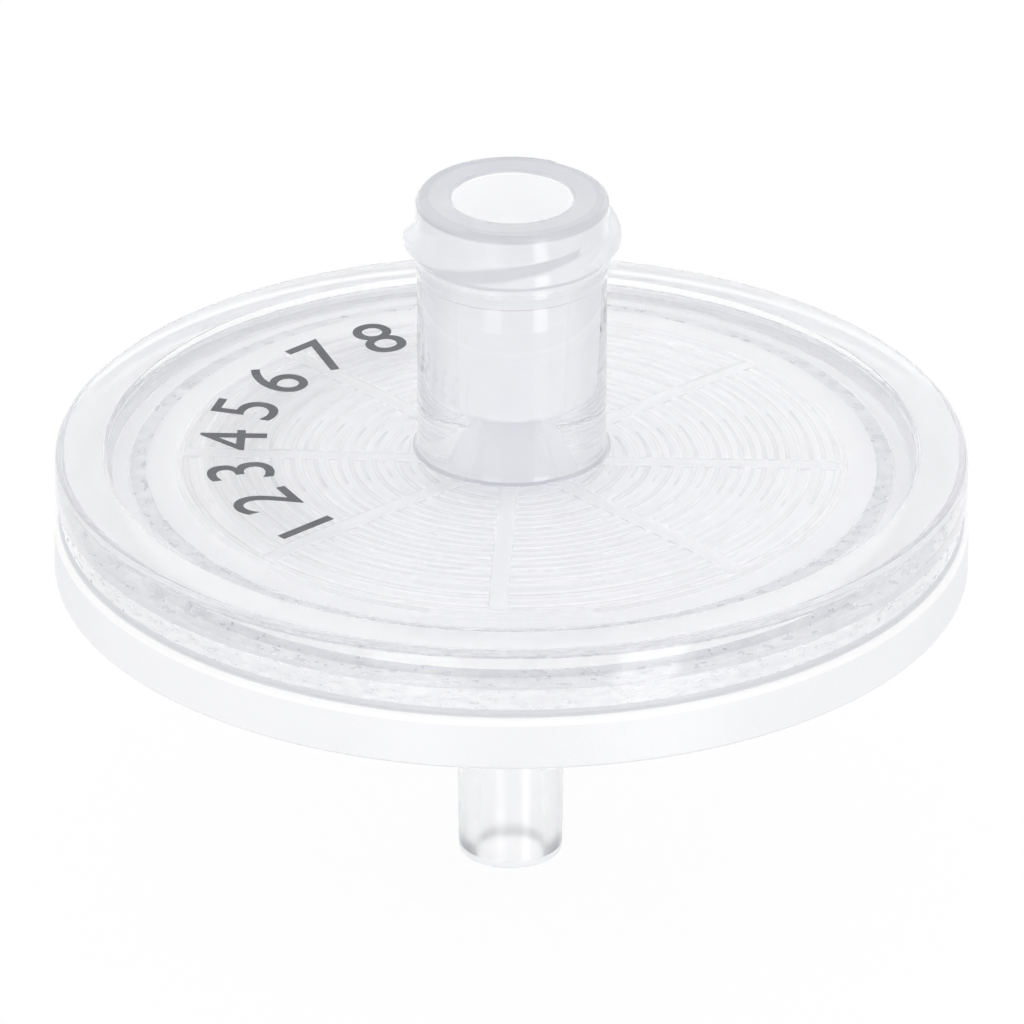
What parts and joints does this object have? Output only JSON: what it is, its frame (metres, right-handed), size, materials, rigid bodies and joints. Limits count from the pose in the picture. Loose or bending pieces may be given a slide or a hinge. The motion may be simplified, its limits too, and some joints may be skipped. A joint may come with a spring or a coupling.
{
  "type": "syringe filter",
  "caption": "Round disc filter for a syringe: clear upper housing with luer-lock socket, white membrane inside, frosted lower housing with slip outlet tube.",
  "frame": {"origin": "centre of the outlet tip's end face, the lowest point of the part", "axes": "+Z along the flow axis from the outlet up to the luer-lock mouth; -Y is the side where a thread start meets the mouth, one radial channel lies near each of X and Y"},
  "size_m": [0.033, 0.033, 0.0262],
  "materials": {
    "clear_plastic": "clear, polished moulding",
    "membrane_white": "matt white",
    "frosted_plastic": "whitish, satin",
    "print_ink": "matt dark grey ink"
  },
  "bodies": {
    "root": {"inlet_housing": "clear_plastic", "membrane": "membrane_white", "outlet_housing": "frosted_plastic"}
  },
  "joints": []
}
